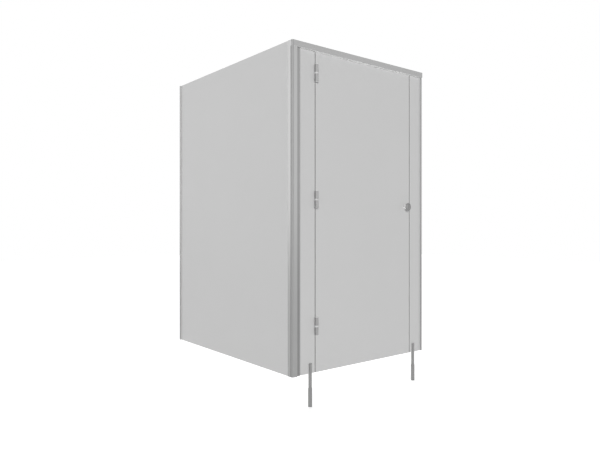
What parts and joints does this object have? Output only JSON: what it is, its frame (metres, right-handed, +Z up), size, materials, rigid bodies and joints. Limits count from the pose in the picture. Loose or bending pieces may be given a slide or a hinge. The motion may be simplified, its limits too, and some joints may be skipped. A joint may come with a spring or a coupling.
{
  "type": "toilet cubicle",
  "caption": "Corner toilet cubicle: laminate side wall and front in aluminium profiles, with an outward-opening door, barrel hinges, turn lock and height-adjustable legs.",
  "frame": {"origin": "foot of the rear wall channel's wall face, in the middle of the side panel's thickness, at the height of the panels' bottom edges, 187 mm above the floor", "axes": "+Z up; +X along the front, from the side panel towards the wall at the right; +Y into the cubicle, towards the wall behind, so the door faces -Y"},
  "size_m": [1.101, 1.3628, 2.037],
  "materials": {
    "laminate": "fine matt texture",
    "anodised_profile": "satin anodised",
    "gasket": "matt",
    "screw_steel": "satin",
    "grey_plastic": "matt",
    "hinge_steel": "brushed",
    "nylon": "satin",
    "knob_steel": "satin",
    "indicator": "gloss",
    "lock_metal": "satin powder coat",
    "leg_steel": "brushed"
  },
  "bodies": {
    "cubicle": {"side_panel": "laminate", "left_pilaster": "laminate", "right_pilaster": "laminate", "corner_post": "anodised_profile", "post_side_gasket": "gasket", "post_front_gasket": "gasket", "post_side_screws": "screw_steel", "post_front_screws": "screw_steel", "head_rail": "anodised_profile", "rail_end_cap": "anodised_profile", "rail_wall_bracket": "anodised_profile", "rail_infill": "grey_plastic", "rail_screws": "screw_steel", "rear_wall_channel": "anodised_profile", "rear_channel_gaskets": "gasket", "rear_channel_screws": "screw_steel", "front_wall_channel": "anodised_profile", "front_channel_gaskets": "gasket", "front_channel_screws": "screw_steel", "upper_stop_strip": "anodised_profile", "lower_stop_strip": "anodised_profile", "stop_seals": "gasket", "stop_screws": "screw_steel", "top_hinge_frame_half": "hinge_steel", "middle_hinge_frame_half": "hinge_steel", "bottom_hinge_frame_half": "hinge_steel", "top_hinge_pin": "hinge_steel", "middle_hinge_pin": "hinge_steel", "bottom_hinge_pin": "hinge_steel", "top_hinge_ring": "nylon", "middle_hinge_ring": "nylon", "bottom_hinge_ring": "nylon", "hinge_frame_screws": "screw_steel", "strike_keep": "lock_metal", "keep_screws": "screw_steel", "left_leg_rod": "leg_steel", "right_leg_rod": "leg_steel", "leg_screws": "screw_steel"},
    "door": {"door_leaf": "laminate", "top_hinge_door_half": "hinge_steel", "middle_hinge_door_half": "hinge_steel", "bottom_hinge_door_half": "hinge_steel", "hinge_door_screws": "screw_steel", "knob_body": "knob_steel", "knob_face": "knob_steel", "knob_screws": "screw_steel", "lock_base_plate": "lock_metal", "lock_case": "lock_metal", "lock_case_screws": "screw_steel"},
    "turn": {"indicator_disc": "indicator", "lock_spindle": "screw_steel", "drive_lever": "screw_steel", "thumb_turn": "knob_steel"},
    "bolt": {"lock_bolt": "hinge_steel"},
    "left_foot": {"left_leg_sleeve": "leg_steel", "left_foot_plug": "grey_plastic", "left_set_screw": "screw_steel"},
    "right_foot": {"right_leg_sleeve": "leg_steel", "right_foot_plug": "grey_plastic", "right_set_screw": "screw_steel"}
  },
  "joints": [
    {"name": "door_swing", "type": "hinge", "parent": "cubicle", "child": "door", "pos_m": [0.16325, -1.3395, 0.9775], "axis": [0, 0, -1], "range_deg": [0, 180]},
    {"name": "lock_turn", "type": "hinge", "parent": "door", "child": "turn", "pos_m": [0.9235, -1.3, 0.952], "axis": [0, 1, 0], "range_deg": [0, 90]},
    {"name": "bolt_slide", "type": "slide", "parent": "door", "child": "bolt", "axis": [1, 0, 0], "range_m": [0, 0.024]},
    {"name": "left_leg_slide", "type": "slide", "parent": "cubicle", "child": "left_foot", "axis": [0, 0, 1], "range_m": [-0.04, 0.016]},
    {"name": "right_leg_slide", "type": "slide", "parent": "cubicle", "child": "right_foot", "axis": [0, 0, 1], "range_m": [-0.04, 0.016]}
  ],
  "couplings": [
    {"joint": "bolt_slide", "follows": "lock_turn", "m_per_rad": 0.015278}
  ]
}
